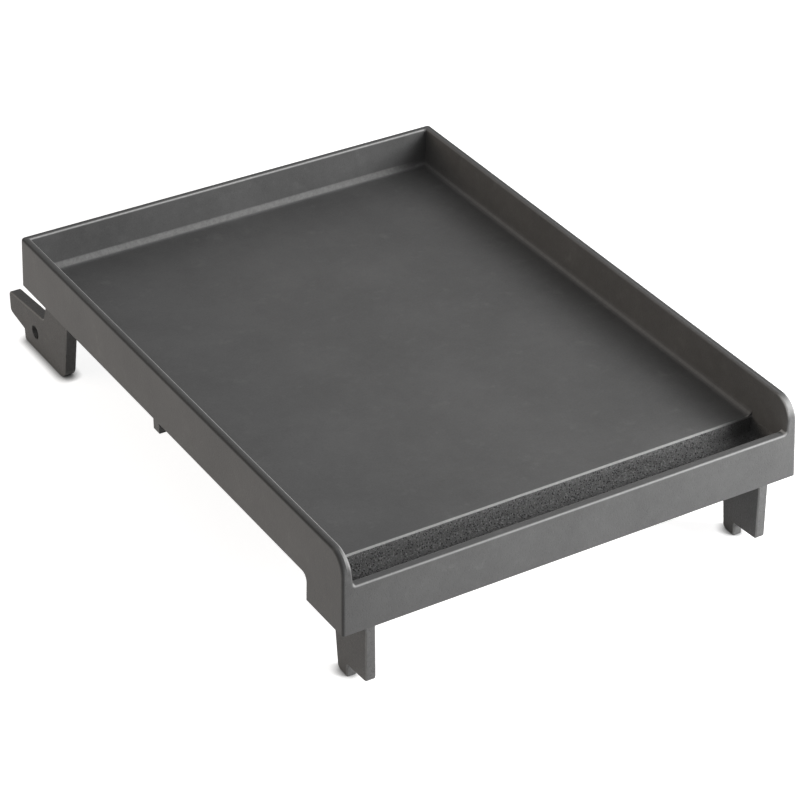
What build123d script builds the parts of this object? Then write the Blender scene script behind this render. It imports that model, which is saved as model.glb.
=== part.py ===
from build123d import *
import os
from math import isclose, radians, tan

# Cast griddle plate: a tray with a raised rim on three sides, a grease trough across the front
# behind a low lip, and four plate legs screwed up under it.
# Millimetres. +X right, +Y to the rear, +Z up. The origin is on the ground under the middle of
# the whole object. Depths are measured down from the rim, insets from the rim's outer edge.

# Tray
tray_width = 290.0
tray_depth = 391.5
rim_height = 93.5
rim_thickness = 4.8
side_wall_height = 32.8
front_wall_height = 48.8
outer_draft = 1.85
inner_draft = 4.0
rim_outer_radius = 1.8
rim_inner_radius = 1.5
rear_corner_radius = 2.5
front_sweep_radius = 13.0
wall_foot_width = 8.0

# Cooking surface
cooking_depth = 24.3
cooking_edge_setback = 31.0
cooking_edge_radius = 1.5
plate_thickness = 6.0
cove_radius = 4.0

# Grease trough and front lip
lip_drop = 20.0
lip_thickness = 6.0
lip_corner_radius = 2.0
lip_back_radius = 2.0
trough_drop = 37.0
trough_cove_radius = 5.0
trough_floor = 5.2
trough_back_wall = 5.8
skirt_foot_width = 7.0
skirt_step_radius = 5.0

# Side tabs
tab_length = 7.0
tab_height = 7.4
tab_setback = 211.2
tab_edge_radius = 1.2

# Legs
left_leg_inset = 12.2
right_leg_inset = 17.2
leg_edge_chamfer = 0.7
flange_width = 20.0
flange_corner_radius = 3.0
flange_thickness = 4.8
recess_clearance = 0.3
pad_margin = 2.0
front_pad_height = 1.8

# Front legs, setbacks from the front face of the front wall
front_leg_thickness = 6.2
front_leg_top = 35.0
front_leg_heel = 30.5
front_prong_face = 20.5
front_sole_toe_height = 9.2
front_sole_step_height = 8.0
front_toe_radius = 2.5
front_heel_radius = 3.5
front_step_radius = 1.5

# Rear legs, overhangs behind the rim and heights above the ground
rear_leg_thickness = 7.9
rear_pad_depth = 40.0
hook_overhang = 55.3
hook_tip_top = 24.7
hook_tip_thickness = 14.5
hook_nose_radius = 2.0
hook_chin_radius = 4.0
hook_root_overhang = 3.2
hook_root_height = 29.2
hook_root_radius = 5.0
heel_overhang = 35.0
heel_height = 7.2
heel_foot_overhang = 34.6
heel_radius = 2.0
neck_inset = 5.5
toe_inset = 22.7
toe_radius = 8.0
shank_inset = 33.8
hole_overhang = 17.6
hole_height = 13.4
hole_diameter = 9.2

# Screws
screw_diameter = 5.0
screw_head_diameter = 9.5
screw_head_height = 3.2
screw_head_chamfer = 0.8
screw_spacing = 13.0
screw_clearance = 0.25
thread_clearance = 0.05
thread_skin = 1.8
screw_tip_gap = 0.4
rear_thread_depth = 9.0

# Derived places
outer_lean = tan(radians(outer_draft))
inner_lean = tan(radians(inner_draft))
front_flare = outer_lean * front_wall_height
front_rim = (front_flare - tray_depth - hook_overhang) / 2
rear_rim = front_rim + tray_depth
front_face = front_rim - front_flare
half_width = tray_width / 2
side_bottom = rim_height - side_wall_height
skirt_bottom = rim_height - front_wall_height
cooking_top = rim_height - cooking_depth
plate_bottom = cooking_top - plate_thickness
lip_top = rim_height - lip_drop
trough_bottom = rim_height - trough_drop
recess_top = trough_bottom - trough_floor
front_pad_bottom = recess_top - front_pad_height
rear_pad_bottom = rim_height - rear_pad_depth
cooking_edge = front_rim + cooking_edge_setback
lip_back = front_rim - outer_lean * lip_drop + lip_thickness
skirt_back = cooking_edge + trough_back_wall
recess_front = front_face + skirt_foot_width
recess_back = skirt_back - skirt_foot_width
recess_half_width = half_width + outer_lean * front_wall_height - wall_foot_width
reach = tray_depth + tray_width


def face_yz(points):
    return make_face(Plane.YZ * Polyline(*points, close=True))


def face_xz(points):
    return make_face(Plane.XZ * Polyline(*points, close=True))


def rounded(face, corner, radius):
    vertex = face.vertices().sort_by_distance(corner)[0]
    return fillet(vertex, radius)


def along_x(face, low, high):
    return extrude(Pos(low, 0, 0) * face, high - low, dir=(1, 0, 0))


def along_y(face, low, high):
    return extrude(Pos(0, low, 0) * face, high - low, dir=(0, 1, 0))


def block(x_span, y_span, z_span):
    size = [span[1] - span[0] for span in (x_span, y_span, z_span)]
    middle = [(span[1] + span[0]) / 2 for span in (x_span, y_span, z_span)]
    return Pos(*middle) * Box(*size)


# Outer form of the casting: its side view crossed with its front view
def side_view():
    points = [
        (front_face, skirt_bottom),
        (front_rim, rim_height),
        (rear_rim, rim_height),
        (rear_rim + outer_lean * side_wall_height, side_bottom),
        (skirt_back, side_bottom),
        (skirt_back, skirt_bottom),
    ]
    face = face_yz(points)
    face = rounded(face, (0, front_rim, rim_height), front_sweep_radius)
    return rounded(face, (0, skirt_back, side_bottom), skirt_step_radius)


def front_view():
    foot = half_width + front_flare
    top_line = [(-half_width, rim_height), (half_width, rim_height)]
    foot_line = [(foot, skirt_bottom), (-foot, skirt_bottom)]
    return face_xz(top_line + foot_line)


def outer_form():
    form = along_x(side_view(), -reach, reach) & along_y(front_view(), -reach, reach)
    rear_edges = form.edges().filter_by(lambda edge: edge.center().Y > rear_rim)
    corners = rear_edges.filter_by(lambda edge: abs(edge.center().X) > half_width)
    return fillet(corners, rear_corner_radius)


# Space inside the rim: drafted sections, coved where they meet a floor
def tray_section(bottom):
    top = rim_height + rim_thickness
    half_top = half_width - rim_thickness + inner_lean * rim_thickness
    half_bottom = half_width - rim_thickness - inner_lean * (rim_height - bottom)
    return face_xz([(-half_top, top), (half_top, top), (half_bottom, bottom), (-half_bottom, bottom)])


def coved(view, bottom, edge_count, radius):
    space = along_x(view, -reach, reach) & along_y(tray_section(bottom), -reach, reach)
    floor_edges = space.faces().sort_by(Axis.Z)[0].edges().sort_by(Axis.Y)
    return fillet(floor_edges[-edge_count:], radius)


def cooking_space():
    wall_top = rear_rim - rim_thickness + inner_lean * rim_thickness
    wall_foot = rear_rim - rim_thickness - inner_lean * cooking_depth
    top = rim_height + rim_thickness
    floor_line = [(cooking_edge, cooking_top), (wall_foot, cooking_top)]
    top_line = [(wall_top, top), (cooking_edge, top)]
    return coved(face_yz(floor_line + top_line), cooking_top, 3, cove_radius)


def trough_space():
    front_foot = lip_back + inner_lean * (lip_top - trough_bottom)
    back_foot = cooking_edge - inner_lean * (cooking_top - trough_bottom)
    top = rim_height + rim_thickness
    points = [
        (front_foot, trough_bottom),
        (back_foot, trough_bottom),
        (cooking_edge, cooking_top),
        (cooking_edge, top),
        (lip_back, top),
        (lip_back, lip_top),
    ]
    return coved(face_yz(points), trough_bottom, 4, trough_cove_radius)


def lip_space():
    face = tray_section(lip_top)
    half_bottom = half_width - rim_thickness - inner_lean * lip_drop
    for side in (-1, 1):
        face = rounded(face, (side * half_bottom, 0, lip_top), lip_corner_radius)
    return along_y(face, front_face - lip_thickness, lip_back)


# Shallow hollows under the cooking plate and under the trough
def plate_hollow():
    foot = half_width + outer_lean * side_wall_height - wall_foot_width
    back = rear_rim + outer_lean * side_wall_height - wall_foot_width
    return block((-foot, foot), (skirt_back, back), (0, plate_bottom))


def trough_hollow():
    return block((-recess_half_width, recess_half_width), (recess_front, recess_back), (0, recess_top))


def cooking_edge_rounding():
    radius = cooking_edge_radius
    half_length = half_width - rim_thickness - inner_lean * cooking_depth - cove_radius
    y_span = (cooking_edge, cooking_edge + radius)
    corner = block((-half_length, half_length), y_span, (cooking_top - radius, cooking_top))
    rod = Pos(0, cooking_edge + radius, cooking_top - radius) * Rot(0, 90, 0) * Cylinder(radius, reach)
    return corner - rod


# Edges of the rim, its swept front ends and the lip: the outer line or the inner line
def rim_edges(casting, outer):
    top = casting.faces().filter_by(Plane.XY).sort_by(Axis.Z)[-1]
    sweeps = casting.faces().filter_by(GeomType.CYLINDER)
    sweeps = sweeps.filter_by(lambda face: isclose(face.radius, front_sweep_radius))
    front = casting.faces().sort_by(Axis.Y)[0]
    edges = [edge for face in (top, *sweeps, front) for edge in face.edges()]
    sharp = ShapeList(edge for edge in edges if sum(edge.is_same(other) for other in edges) == 1)
    sharp = sharp.filter_by(lambda edge: edge.center().Z > skirt_bottom + rim_thickness)
    middle = rim_thickness / 2

    def is_outer(edge):
        place = edge.center()
        return abs(place.X) > half_width - middle or place.Y > rear_rim - middle

    return sharp.filter_by(lambda edge: is_outer(edge) == outer)


def lip_back_edge(casting):
    edges = casting.edges().filter_by(Axis.X)
    return edges.sort_by_distance((0, lip_back, lip_top))[0]


# Where each leg stands: its side of the tray and its inset from the rim
leg_sides = {"left": (-1, left_leg_inset), "right": (1, right_leg_inset)}
front_flange_span = (recess_front + recess_clearance, recess_back - recess_clearance)
rear_flange_span = (rear_rim - shank_inset, rear_rim - neck_inset)


def span_inward(side, inset, start, end):
    edge = half_width - inset
    return tuple(sorted((side * (edge - start), side * (edge - end))))


def screw_places(side, inset, thickness, flange_span):
    x = side * (half_width - inset - thickness - flange_width / 2)
    middle = sum(flange_span) / 2
    return [(x, middle - screw_spacing / 2), (x, middle + screw_spacing / 2)]


def leg_pads():
    pads = []
    for side, inset in leg_sides.values():
        front_x = span_inward(side, inset, -pad_margin, front_leg_thickness + flange_width + pad_margin)
        rear_x = span_inward(side, inset, -pad_margin, rear_leg_thickness + flange_width + pad_margin)
        front_y = (recess_front, recess_back)
        rear_y = (rear_rim - shank_inset - pad_margin, rear_rim - neck_inset)
        pads.append(block(front_x, front_y, (front_pad_bottom, trough_bottom - trough_floor / 2)))
        pads.append(block(rear_x, rear_y, (rear_pad_bottom, cooking_top - plate_thickness / 2)))
    return pads


front_thread_depth = trough_bottom - front_pad_bottom - thread_skin


def thread_holes():
    radius = screw_diameter / 2 + thread_clearance
    holes = []
    for side, inset in leg_sides.values():
        for x, y in screw_places(side, inset, front_leg_thickness, front_flange_span):
            hole = Cylinder(radius, front_thread_depth, align=(Align.CENTER, Align.CENTER, Align.MIN))
            holes.append(Pos(x, y, front_pad_bottom) * hole)
        for x, y in screw_places(side, inset, rear_leg_thickness, rear_flange_span):
            hole = Cylinder(radius, rear_thread_depth, align=(Align.CENTER, Align.CENTER, Align.MIN))
            holes.append(Pos(x, y, rear_pad_bottom) * hole)
    return holes


def side_tab(side):
    outer = half_width + outer_lean * side_wall_height
    x_span = tuple(sorted((side * outer, side * (outer - wall_foot_width))))
    middle = front_rim + tab_setback
    y_span = (middle - tab_length / 2, middle + tab_length / 2)
    tab = block(x_span, y_span, (side_bottom - tab_height, side_bottom))
    return fillet(tab.faces().sort_by(Axis.Z)[0].edges(), tab_edge_radius)


def griddle_plate():
    casting = outer_form() - (cooking_space() + trough_space() + lip_space())
    casting = fillet(rim_edges(casting, True), rim_outer_radius)
    casting = fillet(rim_edges(casting, False), rim_inner_radius)
    casting = fillet(lip_back_edge(casting), lip_back_radius)
    casting = casting - cooking_edge_rounding() - plate_hollow() - trough_hollow()
    casting = casting + leg_pads() + [side_tab(-1), side_tab(1)]
    return casting - thread_holes()


# Legs: a flat plate standing fore and aft, with a screwed flange on its inner side
def leg_plate(outline, side, inset, thickness, top):
    x_span = span_inward(side, inset, 0, thickness)
    plate = along_x(outline, *x_span)
    edges = plate.edges().filter_by(lambda edge: edge.center().Z < top - leg_edge_chamfer)
    edges = edges.filter_by(lambda edge: abs(edge.center().X - sum(x_span) / 2) > thickness / 4)
    return chamfer(edges, leg_edge_chamfer)


def leg_flange(side, inset, thickness, flange_span, top):
    x_span = span_inward(side, inset, thickness, thickness + flange_width)
    flange = block(x_span, flange_span, (top - flange_thickness, top))
    free_end = flange.faces().sort_by(Axis.X)[0 if side > 0 else -1]
    flange = fillet(free_end.edges().filter_by(Axis.Z), flange_corner_radius)
    radius = screw_diameter / 2 + screw_clearance
    for x, y in screw_places(side, inset, thickness, flange_span):
        flange -= Pos(x, y, top) * Cylinder(radius, reach)
    return flange


def front_leg(side, inset):
    tongue_front, tongue_back = front_flange_span
    heel = front_face + front_leg_heel
    prong = front_face + front_prong_face
    points = [
        (front_face, skirt_bottom),
        (front_face, front_sole_toe_height),
        (prong, front_sole_step_height),
        (prong, 0),
        (heel, 0),
        (front_face + front_leg_top, skirt_bottom),
        (tongue_back, skirt_bottom),
        (tongue_back, front_pad_bottom),
        (tongue_front, front_pad_bottom),
        (tongue_front, skirt_bottom),
    ]
    outline = face_yz(points)
    outline = rounded(outline, (0, front_face, front_sole_toe_height), front_toe_radius)
    outline = rounded(outline, (0, prong, front_sole_step_height), front_step_radius)
    outline = rounded(outline, (0, heel, 0), front_heel_radius)
    plate = leg_plate(outline, side, inset, front_leg_thickness, skirt_bottom)
    return plate + leg_flange(side, inset, front_leg_thickness, front_flange_span, front_pad_bottom)


def rear_leg(side, inset):
    tip = rear_rim + hook_overhang
    tip_bottom = hook_tip_top - hook_tip_thickness
    root = rear_rim + hook_root_overhang
    shank_front, neck = rear_flange_span
    points = [
        (shank_front, rear_pad_bottom),
        (rear_rim - toe_inset, 0),
        (rear_rim + heel_foot_overhang, 0),
        (rear_rim + heel_overhang, heel_height),
        (tip, tip_bottom),
        (tip, hook_tip_top),
        (root, hook_root_height),
        (neck, rear_pad_bottom),
    ]
    outline = face_yz(points)
    outline = rounded(outline, (0, rear_rim - toe_inset, 0), toe_radius)
    outline = rounded(outline, (0, rear_rim + heel_foot_overhang, 0), heel_radius)
    outline = rounded(outline, (0, tip, tip_bottom), hook_chin_radius)
    outline = rounded(outline, (0, tip, hook_tip_top), hook_nose_radius)
    outline = rounded(outline, (0, root, hook_root_height), hook_root_radius)
    plate = leg_plate(outline, side, inset, rear_leg_thickness, rear_pad_bottom)
    bore = Rot(0, 90, 0) * Cylinder(hole_diameter / 2, reach)
    bore = Pos(0, rear_rim + hole_overhang, hole_height) * bore
    flange = leg_flange(side, inset, rear_leg_thickness, rear_flange_span, rear_pad_bottom)
    return plate - bore + flange


# Screws: pan heads under the flanges
def screw(thread_depth):
    length = flange_thickness + thread_depth - screw_tip_gap
    shank = Cylinder(screw_diameter / 2, length, align=(Align.CENTER, Align.CENTER, Align.MIN))
    below = (Align.CENTER, Align.CENTER, Align.MAX)
    head = Cylinder(screw_head_diameter / 2, screw_head_height, align=below)
    head = chamfer(head.faces().sort_by(Axis.Z)[0].edges(), screw_head_chamfer)
    return shank + head


def leg_screws(thickness, flange_span, pad_bottom, thread_depth):
    seat = pad_bottom - flange_thickness
    places = []
    for side, inset in leg_sides.values():
        places += screw_places(side, inset, thickness, flange_span)
    return Compound(children=[Pos(x, y, seat) * screw(thread_depth) for x, y in places])


def nodes():
    yield "griddle_plate", griddle_plate()
    for name, (side, inset) in leg_sides.items():
        yield f"front_{name}_leg", front_leg(side, inset)
        yield f"rear_{name}_leg", rear_leg(side, inset)
    front_seat = front_leg_thickness, front_flange_span, front_pad_bottom
    rear_seat = rear_leg_thickness, rear_flange_span, rear_pad_bottom
    yield "front_leg_screws", leg_screws(*front_seat, front_thread_depth)
    yield "rear_leg_screws", leg_screws(*rear_seat, rear_thread_depth)


os.makedirs("parts", exist_ok=True)
for node, shape in nodes():
    export_step(shape, f"parts/{node}.step")
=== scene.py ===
from math import cos, pi, radians, sin, tau

import bmesh
import bpy
from mathutils import Matrix, Vector


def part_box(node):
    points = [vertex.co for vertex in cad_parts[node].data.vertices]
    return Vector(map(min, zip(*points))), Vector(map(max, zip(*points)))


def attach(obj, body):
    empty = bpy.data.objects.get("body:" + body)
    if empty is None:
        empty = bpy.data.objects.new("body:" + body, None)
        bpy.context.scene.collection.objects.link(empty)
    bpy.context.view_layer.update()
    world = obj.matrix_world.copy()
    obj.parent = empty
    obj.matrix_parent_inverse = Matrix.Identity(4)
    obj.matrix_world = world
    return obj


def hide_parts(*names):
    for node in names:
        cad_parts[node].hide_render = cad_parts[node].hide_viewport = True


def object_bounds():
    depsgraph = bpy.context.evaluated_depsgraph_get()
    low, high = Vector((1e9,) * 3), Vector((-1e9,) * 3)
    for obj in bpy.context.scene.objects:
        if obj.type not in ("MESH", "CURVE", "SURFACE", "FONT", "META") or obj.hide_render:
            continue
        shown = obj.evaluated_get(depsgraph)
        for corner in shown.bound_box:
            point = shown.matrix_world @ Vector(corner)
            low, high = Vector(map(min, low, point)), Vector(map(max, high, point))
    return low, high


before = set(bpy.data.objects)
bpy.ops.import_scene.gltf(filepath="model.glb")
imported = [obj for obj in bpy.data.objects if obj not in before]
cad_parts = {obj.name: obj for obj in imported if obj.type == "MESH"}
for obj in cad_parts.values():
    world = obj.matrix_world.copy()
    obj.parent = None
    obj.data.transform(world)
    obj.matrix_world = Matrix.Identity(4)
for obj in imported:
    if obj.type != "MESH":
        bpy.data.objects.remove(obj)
cad_low, cad_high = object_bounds()

# Sizes of the casting that the finishes follow, in metres
MM = 0.001
plate_low, plate_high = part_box("griddle_plate")
RIM_TOP = plate_high.z
COOKING_TOP = RIM_TOP - 24.3 * MM
LIP_TOP = RIM_TOP - 20.0 * MM
COVE_TOP = COOKING_TOP + 4.6 * MM
COOKING_EDGE = plate_low.y + 32.6 * MM
EDGE_ROUNDING = 1.6 * MM
RIM_MIDDLE = 4.0 * MM
RIM_WIDTH = 7.0 * MM
SWEEP_FRONT = plate_low.y + 9 * MM
SWEEP_BACK = plate_low.y + 15 * MM
COVE_REACH = 15 * MM
SOFT_EDGE = 0.5 * MM

# Viewpoint of the photograph: from the front left, looking down
CAMERA_PLACE = Vector((-0.75135, -1.29867, 0.97156))
CAMERA_YAW = radians(30.775)
CAMERA_PITCH = radians(32.365)
CAMERA_ROLL = radians(-0.193)
CAMERA_LENS = 133.392


class Finish:
    """A material and the few node kinds that the finishes are made of."""

    def __init__(self, name):
        self.material = bpy.data.materials.new(name)
        self.material.use_nodes = True
        self.tree = self.material.node_tree
        self.tree.nodes.clear()
        self.output = self.add("ShaderNodeOutputMaterial")

    def add(self, kind, settings=None, **inputs):
        node = self.tree.nodes.new(kind)
        for name, value in (settings or {}).items():
            setattr(node, name, value)
        for name, value in inputs.items():
            self.feed(node.inputs[name.replace("_", " ")], value)
        return node

    def feed(self, socket, value):
        if isinstance(value, bpy.types.NodeSocket):
            self.tree.links.new(value, socket)
        else:
            socket.default_value = value

    def math(self, operation, first, second=0.0, clamp=False):
        node = self.add("ShaderNodeMath", {"operation": operation, "use_clamp": clamp})
        self.feed(node.inputs[0], first)
        self.feed(node.inputs[1], second)
        return node.outputs[0]

    def product(self, *factors):
        result = factors[0]
        for factor in factors[1:]:
            result = self.math("MULTIPLY", result, factor)
        return result

    def total(self, *terms):
        result = terms[0]
        for term in terms[1:]:
            result = self.math("ADD", result, term)
        return result

    def rise(self, value, low, high):
        """0 below low, 1 above high, smooth between. With low above high it falls."""
        settings = {"interpolation_type": "SMOOTHSTEP"}
        start, end = min(low, high), max(low, high)
        node = self.add("ShaderNodeMapRange", settings, Value=value, From_Min=start, From_Max=end)
        risen = node.outputs[0]
        return risen if low < high else self.opposite(risen)

    def opposite(self, mask):
        return self.math("SUBTRACT", 1.0, mask)

    def span(self, value, low, high):
        """A plain linear map of 0..1 noise to low..high."""
        return self.add("ShaderNodeMapRange", Value=value, To_Min=low, To_Max=high).outputs[0]

    def coordinates(self):
        return self.add("ShaderNodeTexCoord").outputs["Object"]

    def noise(self, size, detail=3.0, roughness=0.55):
        """Noise whose features are about size metres across."""
        node = self.add(
            "ShaderNodeTexNoise",
            Vector=self.coordinates(),
            Scale=1 / size,
            Detail=detail,
            Roughness=roughness,
        )
        return node.outputs[0]

    def grains(self, size):
        """Distance to the nearest of many scattered points, for pits in the sand-cast skin."""
        node = self.add("ShaderNodeTexVoronoi", Vector=self.coordinates(), Scale=1 / size)
        return node.outputs["Distance"]

    def place(self):
        """The x, y and z of the point in the part's own frame."""
        return self.add("ShaderNodeSeparateXYZ", Vector=self.coordinates()).outputs

    def facing(self):
        """The x, y and z of the direction that the surface faces."""
        normal = self.add("ShaderNodeNewGeometry").outputs["Normal"]
        return self.add("ShaderNodeSeparateXYZ", Vector=normal).outputs

    def edges(self):
        """1 where the surface is turned halfway between two axes, 0 where it faces along one."""
        fourths = [self.math("POWER", self.math("ABSOLUTE", part), 4.0) for part in self.facing()]
        flat = self.total(*fourths)
        return self.math("MULTIPLY", self.math("SUBTRACT", 1.0, flat), 2.0, clamp=True)

    def blend(self, factor, first, second):
        node = self.add("ShaderNodeMix", {"data_type": "RGBA"})
        self.feed(node.inputs["Factor"], factor)
        self.feed(node.inputs[6], first)
        self.feed(node.inputs[7], second)
        return node.outputs[2]

    def blend_value(self, factor, first, second):
        node = self.add("ShaderNodeMix", {"data_type": "FLOAT"})
        self.feed(node.inputs["Factor"], factor)
        self.feed(node.inputs[2], first)
        self.feed(node.inputs[3], second)
        return node.outputs[0]

    def bump(self, height, depth, strength, under=None):
        node = self.add("ShaderNodeBump", Height=height, Distance=depth, Strength=strength)
        if under is not None:
            self.feed(node.inputs["Normal"], under)
        return node.outputs[0]

    def surface(self, **inputs):
        shader = self.add("ShaderNodeBsdfPrincipled", **inputs)
        self.tree.links.new(shader.outputs[0], self.output.inputs["Surface"])
        return self.material


# Coated cast iron: its colours, the paler and darker ones that also carry painted light and shade, and
# the sizes of the patterns in it
DARK_COAT = (0.092, 0.092, 0.092, 1.0)
PALE_COAT = (0.121, 0.121, 0.121, 1.0)
SMUDGE_AND_PAINTED_LIGHT_COAT = (0.220, 0.220, 0.218, 1.0)
SAND_COAT = (0.240, 0.240, 0.238, 1.0)
PORE_AND_SHADE_COAT = (0.024, 0.024, 0.024, 1.0)
RUBBED_AND_LIT_IRON = (0.56, 0.56, 0.555, 1.0)
CLOUD_SIZE = 50 * MM
MOTTLE_SIZE = 6 * MM
SMUDGE_SIZE = 14 * MM
RAGGED_SIZE = 2.4 * MM
PORE_SIZE = 1.4 * MM
SPECK_SIZE = 1.0 * MM
SCUFF_SIZE = 1.6 * MM
SAND_SIZE = 0.95 * MM
SAND_DEPTH = 0.45 * MM
SKIN_SIZE = 4.2 * MM
SKIN_DEPTH = 0.30 * MM


def cast_coat(finish, wear_and_highlight, grain, smooth, dark, painted_light, gloss):
    """The coat of the tray and the legs. Gloss is a plain number, and the rest are masks from 0 to 1;
    the dark mask blends in painted shade, the pale mask blends in painted light, and the wear mask also
    carries painted highlights.
    """
    mottle = finish.noise(MOTTLE_SIZE, 4.0)
    pale_clouds = finish.span(finish.noise(CLOUD_SIZE, 5.0), -0.70, 1.20)
    pale_mottle = finish.span(mottle, -0.25, 0.75)
    colour = finish.blend(finish.math("ADD", pale_clouds, pale_mottle, clamp=True), DARK_COAT, PALE_COAT)
    smudges = finish.rise(finish.noise(SMUDGE_SIZE, 5.0, 0.65), 0.56, 0.78)
    colour = finish.blend(finish.product(smudges, 0.22), colour, SMUDGE_AND_PAINTED_LIGHT_COAT)
    # Painted light: a paler coat, broken up by ragged noise, where the pale mask is set
    ragged = finish.span(finish.noise(RAGGED_SIZE, 5.0, 0.7), 0.0, 1.7)
    colour = finish.blend(finish.math("MULTIPLY", painted_light, ragged, clamp=True), colour, SMUDGE_AND_PAINTED_LIGHT_COAT)
    pores = finish.rise(finish.grains(PORE_SIZE), 0.42, 0.14)
    specks = finish.rise(finish.noise(SPECK_SIZE, 2.0), 0.52, 0.66)
    colour = finish.blend(finish.product(specks, grain, 0.62), colour, SAND_COAT)
    colour = finish.blend(finish.product(pores, grain, 0.92), colour, PORE_AND_SHADE_COAT)
    # Painted shade: towards the near-black coat where the dark mask is set
    colour = finish.blend(dark, colour, PORE_AND_SHADE_COAT)
    # Wear and painted highlight: the edge mask turns the coat to brightened bare iron
    scuffs = finish.noise(SCUFF_SIZE, 5.0, 0.7)
    worn_and_lit = finish.math("MULTIPLY", wear_and_highlight, finish.span(scuffs, 0.45, 1.2), clamp=True)
    colour = finish.blend(worn_and_lit, colour, RUBBED_AND_LIT_IRON)
    coat_roughness = finish.total(finish.span(mottle, 0.42, 0.54), finish.product(grain, 0.12))
    roughness = finish.blend_value(worn_and_lit, coat_roughness, 0.38)
    sand = finish.noise(SAND_SIZE, 2.0, 0.6)
    skin_normal = finish.bump(finish.noise(SKIN_SIZE), SKIN_DEPTH, 0.22)
    grain_depth = finish.product(grain, finish.opposite(smooth))
    height = finish.product(finish.total(sand, finish.product(pores, -0.9)), grain_depth)
    normal = finish.bump(height, SAND_DEPTH, 1.0, skin_normal)
    return finish.surface(
        Base_Color=colour,
        Metallic=finish.product(worn_and_lit, 0.35),
        Roughness=roughness,
        Normal=normal,
        Specular_IOR_Level=gloss,
    )


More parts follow.
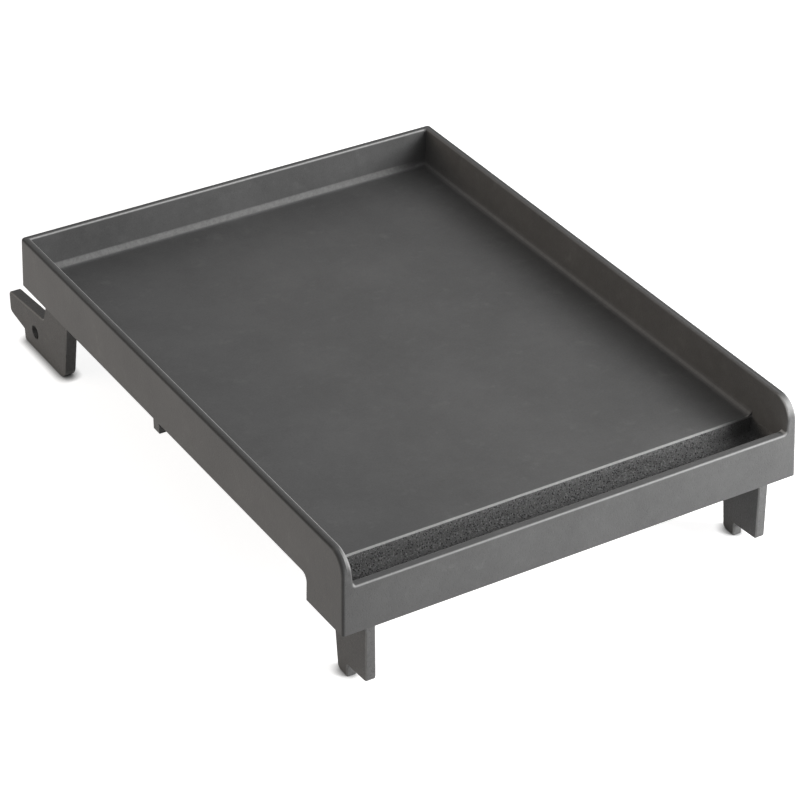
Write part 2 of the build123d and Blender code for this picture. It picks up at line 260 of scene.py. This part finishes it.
def tray_finish():
    finish = Finish("cast_tray_coat")
    x, y, z = finish.place()
    rounded = finish.edges()
    upward = finish.rise(finish.facing()[2], 0.10, 0.40)
    left_middle = plate_low.x + RIM_MIDDLE
    right_middle = plate_high.x - RIM_MIDDLE
    rear_middle = plate_high.y - RIM_MIDDLE
    inside_left = finish.rise(x, left_middle, left_middle + SOFT_EDGE)
    inside_right = finish.rise(x, right_middle, right_middle - SOFT_EDGE)
    inside_rear = finish.rise(y, rear_middle, rear_middle - SOFT_EDGE)
    inside = finish.product(inside_left, inside_right, inside_rear)
    behind_sweep = finish.rise(y, SWEEP_FRONT, SWEEP_BACK)
    at_top = finish.product(finish.rise(z, RIM_TOP - 4 * MM, RIM_TOP - 2.5 * MM), behind_sweep)

    # Wear on the edges that a scraper or a hand meets, brightened into painted highlights where the
    # edges face the front light; the right rim's inner edge, turned away from it, gets little
    right_rim = plate_high.x - RIM_WIDTH
    clear_of_right = finish.rise(x, right_rim, right_rim - 1.5 * MM)
    rim_wear_and_highlight = finish.product(at_top, inside, finish.blend_value(clear_of_right, 0.12, 0.85))
    front_part = finish.rise(y, SWEEP_BACK, SWEEP_FRONT)
    above_lip = finish.rise(z, LIP_TOP - 3.5 * MM, LIP_TOP - 2.5 * MM)
    front_wear_and_highlight = finish.product(front_part, inside_left, upward, above_lip, 0.62)
    off_right = finish.rise(x, plate_high.x - 14 * MM, plate_high.x - 48 * MM)
    # Painted highlight on the cooking edge, faded towards the right end where the right wall's shadow
    # falls
    edge_wear_and_highlight = finish.product(
        inside,
        finish.blend_value(off_right, 0.30, 1.0),
        finish.rise(y, COOKING_EDGE - 0.8 * EDGE_ROUNDING, COOKING_EDGE - 0.5 * EDGE_ROUNDING),
        finish.rise(y, COOKING_EDGE + 1.0 * MM, COOKING_EDGE + 0.5 * MM),
        finish.rise(z, COOKING_TOP - 0.8 * EDGE_ROUNDING, COOKING_TOP - 0.5 * EDGE_ROUNDING),
        finish.rise(z, COOKING_TOP + 0.6 * MM, COOKING_TOP + 0.2 * MM),
    )
    wear_and_highlight = finish.product(finish.math("POWER", rounded, 1.5), finish.total(rim_wear_and_highlight, front_wear_and_highlight))
    wear_and_highlight = finish.math("MAXIMUM", wear_and_highlight, edge_wear_and_highlight)

    # Painted shade: the outer edge of the rim and the left front corner are darkened where they turn
    # away from the light
    left_corner = finish.product(rounded, finish.opposite(inside_left), front_part, 0.6)
    turned_up = finish.math("MAXIMUM", rounded, finish.product(upward, 0.5))
    outer_rim = finish.product(finish.opposite(inside), at_top, turned_up)
    dark = finish.product(finish.math("MAXIMUM", outer_rim, left_corner), 0.90)

    # Painted light: a painted highlight along the rear cove and in a thin line along the right one, and
    # painted light behind the lip where its shadow falls
    in_rear_cove = finish.product(
        inside,
        finish.rise(z, COOKING_TOP + 0.2 * MM, COOKING_TOP + 0.9 * MM),
        finish.rise(z, COVE_TOP, COVE_TOP - 1.2 * MM),
        finish.rise(y, plate_high.y - COVE_REACH - 3 * MM, plate_high.y - COVE_REACH),
        finish.rise(x, plate_high.x - 12 * MM, plate_high.x - 40 * MM),
    )
    in_right_cove = finish.product(
        inside,
        finish.rise(y, COOKING_EDGE, COOKING_EDGE + 1 * MM),
        finish.rise(z, COOKING_TOP + 0.4 * MM, COOKING_TOP + 0.8 * MM),
        finish.rise(z, COOKING_TOP + 2.2 * MM, COOKING_TOP + 1.4 * MM),
        finish.rise(x, plate_high.x - COVE_REACH - 3 * MM, plate_high.x - COVE_REACH),
        0.45,
    )

    # Sandy where the casting is left rough, smooth on the cooking surface
    inside_front = finish.rise(y, SWEEP_FRONT, SWEEP_FRONT + 1 * MM)
    before_edge = finish.rise(y, COOKING_EDGE + 0.1 * MM, COOKING_EDGE - 0.1 * MM)
    sunken = finish.rise(z, COOKING_TOP - 0.6 * MM, COOKING_TOP - 1.6 * MM)
    in_trough = finish.product(inside, inside_front, before_edge, sunken)
    # Painted light behind the lip, where the lip's shadow falls on the trough floor
    near_lip = finish.rise(y, plate_low.y + 19 * MM, plate_low.y + 13 * MM)
    behind_lip = finish.product(in_trough, near_lip, 0.50)
    painted_light = finish.math("MAXIMUM", finish.math("MAXIMUM", in_rear_cove, in_right_cove), behind_lip)
    on_cooking = finish.product(
        finish.rise(y, COOKING_EDGE, COOKING_EDGE + 1 * MM),
        finish.rise(z, COOKING_TOP + 0.6 * MM, COOKING_TOP + 0.2 * MM),
        finish.rise(z, COOKING_TOP - 0.6 * MM, COOKING_TOP - 0.2 * MM),
    )
    trough_grain = finish.product(in_trough, finish.blend_value(off_right, 0.35, 0.90))
    grain = finish.math("ADD", 0.10, trough_grain, clamp=True)
    return cast_coat(finish, wear_and_highlight, grain, finish.product(on_cooking, 0.75), dark, painted_light, 0.19)


def leg_finish():
    finish = Finish("cast_leg_coat")
    # Wear on all edges, brightened into a painted highlight; painted light on the faces that turn to the
    # front
    wear_and_highlight = finish.product(finish.edges(), 0.28)
    on_front = finish.rise(finish.facing()[1], -0.5, -0.9)
    return cast_coat(finish, wear_and_highlight, 0.25, 0.0, 0.12, finish.product(on_front, 0.48), 0.10)


def screw_finish():
    finish = Finish("dull_zinc_screw")
    cloud = finish.noise(0.004, 3.0)
    spots = finish.noise(0.0007, 3.0)
    colour = finish.blend(cloud, (0.30, 0.30, 0.31, 1.0), (0.42, 0.42, 0.43, 1.0))
    tarnish = finish.rise(spots, 0.55, 0.75)
    colour = finish.blend(finish.product(tarnish, 0.5), colour, (0.14, 0.12, 0.10, 1.0))
    normal = finish.bump(spots, 0.00006, 0.4)
    return finish.surface(
        Base_Color=colour, Metallic=1.0, Roughness=finish.span(cloud, 0.34, 0.52), Normal=normal
    )


def new_object(name, mesh):
    piece = bpy.data.objects.new(name, mesh)
    bpy.context.scene.collection.objects.link(piece)
    return piece


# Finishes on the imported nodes
tray_coat = tray_finish()
leg_coat = leg_finish()
zinc = screw_finish()
for node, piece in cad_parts.items():
    piece.material_slots[0].material = tray_coat if node == "griddle_plate" else leg_coat


# Screws: pan heads with a hexagon socket, turned by chance
HEAD_RADIUS = 4.75 * MM
HEAD_HEIGHT = 3.2 * MM
SHANK_RADIUS = 2.5 * MM
SOCKET_RADIUS = 1.75 * MM
SOCKET_DEPTH = 1.6 * MM
RING_STEPS = 48
DOME_STEPS = 6


def ring(mesh, radius, height):
    points = []
    for step in range(RING_STEPS):
        turn = tau * step / RING_STEPS
        points.append(mesh.verts.new((radius * cos(turn), radius * sin(turn), height)))
    return points


def hexagon_ring(mesh, radius, height):
    """A hexagon with as many points as a round ring, so the two can be bridged."""
    points = []
    for step in range(RING_STEPS):
        turn = tau * step / RING_STEPS
        off_middle = (turn % (tau / 6)) - tau / 12
        reach = radius * cos(tau / 12) / cos(off_middle)
        points.append(mesh.verts.new((reach * cos(turn), reach * sin(turn), height)))
    return points


def bridge(mesh, first, second):
    for step in range(RING_STEPS):
        following = (step + 1) % RING_STEPS
        mesh.faces.new((first[step], first[following], second[following], second[step]))


def screw_mesh(name, length):
    """Head down, with the underside of the head at height 0 and the shank rising to length."""
    mesh = bmesh.new()
    tip_bevel = 0.6 * MM
    crown = HEAD_HEIGHT * 0.45
    rings = [ring(mesh, SHANK_RADIUS - tip_bevel, length), ring(mesh, SHANK_RADIUS, length - tip_bevel)]
    rings.append(ring(mesh, SHANK_RADIUS, 0.0))
    rings.append(ring(mesh, HEAD_RADIUS, 0.0))
    for step in range(DOME_STEPS + 1):
        turn = pi / 2 * step / DOME_STEPS
        radius = HEAD_RADIUS - crown * (1 - cos(turn))
        rings.append(ring(mesh, radius, -(HEAD_HEIGHT - crown) - crown * sin(turn)))
    rings.append(hexagon_ring(mesh, SOCKET_RADIUS * 1.12, -HEAD_HEIGHT))
    rings.append(hexagon_ring(mesh, SOCKET_RADIUS, -HEAD_HEIGHT + 0.15 * MM))
    rings.append(hexagon_ring(mesh, SOCKET_RADIUS, -HEAD_HEIGHT + SOCKET_DEPTH))
    for first, second in zip(rings, rings[1:]):
        bridge(mesh, first, second)
    mesh.faces.new(rings[0])
    mesh.faces.new(rings[-1])
    bmesh.ops.recalc_face_normals(mesh, faces=mesh.faces)
    made = bpy.data.meshes.new(name)
    mesh.to_mesh(made)
    mesh.free()
    return made


def screw_tree():
    """Geometry nodes: one screw at each point, each turned by chance."""
    tree = bpy.data.node_groups.new("screws_at_points", "GeometryNodeTree")
    interface = tree.interface
    interface.new_socket("Geometry", in_out="INPUT", socket_type="NodeSocketGeometry")
    interface.new_socket("Screw", in_out="INPUT", socket_type="NodeSocketObject")
    interface.new_socket("Most Turn", in_out="INPUT", socket_type="NodeSocketFloat")
    interface.new_socket("Seed", in_out="INPUT", socket_type="NodeSocketInt")
    interface.new_socket("Finish", in_out="INPUT", socket_type="NodeSocketMaterial")
    interface.new_socket("Geometry", in_out="OUTPUT", socket_type="NodeSocketGeometry")
    nodes, link = tree.nodes, tree.links.new
    given = nodes.new("NodeGroupInput").outputs
    screw = nodes.new("GeometryNodeObjectInfo")
    turn = nodes.new("FunctionNodeRandomValue")
    axis_turn = nodes.new("ShaderNodeCombineXYZ")
    placed = nodes.new("GeometryNodeInstanceOnPoints")
    realized = nodes.new("GeometryNodeRealizeInstances")
    coloured = nodes.new("GeometryNodeSetMaterial")
    result = nodes.new("NodeGroupOutput")
    link(given["Screw"], screw.inputs["Object"])
    link(given["Most Turn"], turn.inputs[3])
    link(given["Seed"], turn.inputs["Seed"])
    link(turn.outputs[1], axis_turn.inputs["Z"])
    link(given["Geometry"], placed.inputs["Points"])
    link(screw.outputs["Geometry"], placed.inputs["Instance"])
    link(axis_turn.outputs[0], placed.inputs["Rotation"])
    link(placed.outputs[0], realized.inputs["Geometry"])
    link(realized.outputs[0], coloured.inputs["Geometry"])
    link(given["Finish"], coloured.inputs["Material"])
    link(coloured.outputs[0], result.inputs["Geometry"])
    return tree


def screw_middles(node):
    """The axis of each screw of a node, from the two legs and the two places on each."""
    low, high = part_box(node)
    left, right = low.x + HEAD_RADIUS, high.x - HEAD_RADIUS
    front, rear = low.y + HEAD_RADIUS, high.y - HEAD_RADIUS
    return [Vector((x, y, low.z + HEAD_HEIGHT)) for x in (left, right) for y in (front, rear)]


def add_screws(node, tree, seed):
    low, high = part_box(node)
    one = new_object(f"{node}_pattern", screw_mesh(f"{node}_pattern", high.z - low.z - HEAD_HEIGHT))
    points = bpy.data.meshes.new(f"{node}_points")
    points.from_pydata(screw_middles(node), [], [])
    group = new_object(f"{node}_points", points)
    modifier = group.modifiers.new("screws", "NODES")
    modifier.node_group = tree
    values = {"Screw": one, "Most Turn": tau, "Seed": seed, "Finish": zinc}
    for socket in tree.interface.items_tree:
        if socket.in_out == "INPUT" and socket.name in values:
            modifier[socket.identifier] = values[socket.name]
    bpy.context.view_layer.update()
    shown = group.evaluated_get(bpy.context.evaluated_depsgraph_get())
    mesh = bpy.data.meshes.new_from_object(shown)
    group.modifiers.remove(modifier)
    bpy.data.objects.remove(group)
    bpy.data.objects.remove(one)
    mesh.set_sharp_from_angle(angle=radians(35))
    screws = new_object(f"{node}_detailed", mesh)
    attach(screws, "root")
    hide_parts(node)


screws_at_points = screw_tree()
for seed, node in enumerate(("front_leg_screws", "rear_leg_screws"), start=3):
    add_screws(node, screws_at_points, seed)


# Stage: a pale floor, soft lamps and a white surround
FLOOR_REACH = 6.0
FLOOR_GLOW = 0.86
FOOT_SHADOW = 0.006
FOOT_SHADE = (0.10, 0.10, 0.10, 1.0)
WARM = (1.15, 1.0, 0.85)


def floor_finish():
    """White to the eye, with the object's shadow on it and a painted contact shadow around the feet."""
    finish = Finish("pale_floor")
    paper = finish.noise(0.02, 2.0)
    colour = finish.blend(paper, (0.78, 0.78, 0.78, 1.0), (0.80, 0.80, 0.80, 1.0))
    # Painted contact shadow: ambient occlusion darkens the floor's colour and glow near the feet
    near_feet = finish.add("ShaderNodeAmbientOcclusion", Distance=FOOT_SHADOW).outputs["AO"]
    open_floor = finish.math("POWER", near_feet, 2.2)
    diffuse = finish.add("ShaderNodeBsdfDiffuse", Color=finish.blend(open_floor, FOOT_SHADE, colour))
    path = finish.add("ShaderNodeLightPath").outputs
    seen = finish.math("MAXIMUM", path["Is Camera Ray"], path["Is Glossy Ray"])
    seen = finish.math("MAXIMUM", seen, path["Is Transmission Ray"])
    strength = finish.product(seen, open_floor, FLOOR_GLOW)
    glow = finish.add("ShaderNodeEmission", Color=(1.0, 1.0, 1.0, 1.0), Strength=strength)
    both = finish.add("ShaderNodeAddShader")
    finish.feed(both.inputs[0], diffuse.outputs[0])
    finish.feed(both.inputs[1], glow.outputs[0])
    finish.tree.links.new(both.outputs[0], finish.output.inputs["Surface"])
    return finish.material


def add_floor():
    corners = [(-1, -1), (1, -1), (1, 1), (-1, 1)]
    points = [(FLOOR_REACH * x, FLOOR_REACH * y, cad_low.z - 0.0002) for x, y in corners]
    mesh = bpy.data.meshes.new("floor")
    mesh.from_pydata(points, [], [(0, 1, 2, 3)])
    floor = new_object("floor", mesh)
    mesh.materials.append(floor_finish())


def add_lamp(name, place, target, width, height, watts, colour=(1.0, 1.0, 1.0), mirrored=True):
    lamp = bpy.data.lights.new(name, "AREA")
    lamp.shape = "RECTANGLE"
    lamp.size = width
    lamp.size_y = height
    lamp.energy = watts
    lamp.color = colour
    holder = new_object(name, lamp)
    holder.location = place
    holder.visible_camera = False
    holder.visible_glossy = mirrored
    holder.rotation_euler = (Vector(target) - Vector(place)).to_track_quat("-Z", "Y").to_euler()


def add_surround(strength):
    world = bpy.data.worlds.new("white_surround")
    bpy.context.scene.world = world
    world.use_nodes = True
    nodes, link = world.node_tree.nodes, world.node_tree.links.new
    nodes.clear()
    path = nodes.new("ShaderNodeLightPath").outputs
    seen = path["Is Camera Ray"]
    for ray in ("Is Glossy Ray", "Is Transmission Ray"):
        either = nodes.new("ShaderNodeMath")
        either.operation = "MAXIMUM"
        link(seen, either.inputs[0])
        link(path[ray], either.inputs[1])
        seen = either.outputs[0]
    level = nodes.new("ShaderNodeMapRange")
    level.inputs["To Min"].default_value = strength
    level.inputs["To Max"].default_value = 1.0
    link(seen, level.inputs["Value"])
    background = nodes.new("ShaderNodeBackground")
    background.inputs["Color"].default_value = (1.0, 1.0, 1.0, 1.0)
    link(level.outputs[0], background.inputs["Strength"])
    output = nodes.new("ShaderNodeOutputWorld")
    link(background.outputs[0], output.inputs["Surface"])


def add_camera():
    ahead = Vector((sin(CAMERA_YAW), cos(CAMERA_YAW), 0.0))
    forward = cos(CAMERA_PITCH) * ahead - sin(CAMERA_PITCH) * Vector((0.0, 0.0, 1.0))
    level_right = Vector((cos(CAMERA_YAW), -sin(CAMERA_YAW), 0.0))
    level_up = level_right.cross(forward)
    right = cos(CAMERA_ROLL) * level_right + sin(CAMERA_ROLL) * level_up
    up = cos(CAMERA_ROLL) * level_up - sin(CAMERA_ROLL) * level_right
    camera = bpy.data.cameras.new("camera")
    camera.lens = CAMERA_LENS
    camera.sensor_width = 36.0
    camera.clip_end = 50.0
    holder = new_object("camera", camera)
    turned = Matrix((right, up, -forward)).transposed().to_4x4()
    holder.matrix_world = Matrix.Translation(CAMERA_PLACE) @ turned
    bpy.context.scene.camera = holder


add_floor()
add_surround(0.20)
add_lamp("front_softbox", (0.62, -0.78, 0.40), (0.12, -0.20, 0.06), 0.4, 0.4, 11.6, mirrored=False)
add_lamp("key_softbox", (0.95, -1.17, 1.65), (0.0, 0.0, 0.06), 0.9, 0.9, 4.8)
add_lamp("left_softbox", (-1.9, 1.1, 0.5), (-0.1, 0.1, 0.06), 2.4, 0.6, 16.5, WARM, mirrored=False)
add_lamp("right_softbox", (1.9, 0.0, 1.3), (0.0, 0.0, 0.06), 1.0, 1.0, 3.5)
add_camera()
bpy.context.scene.view_settings.view_transform = "Standard"
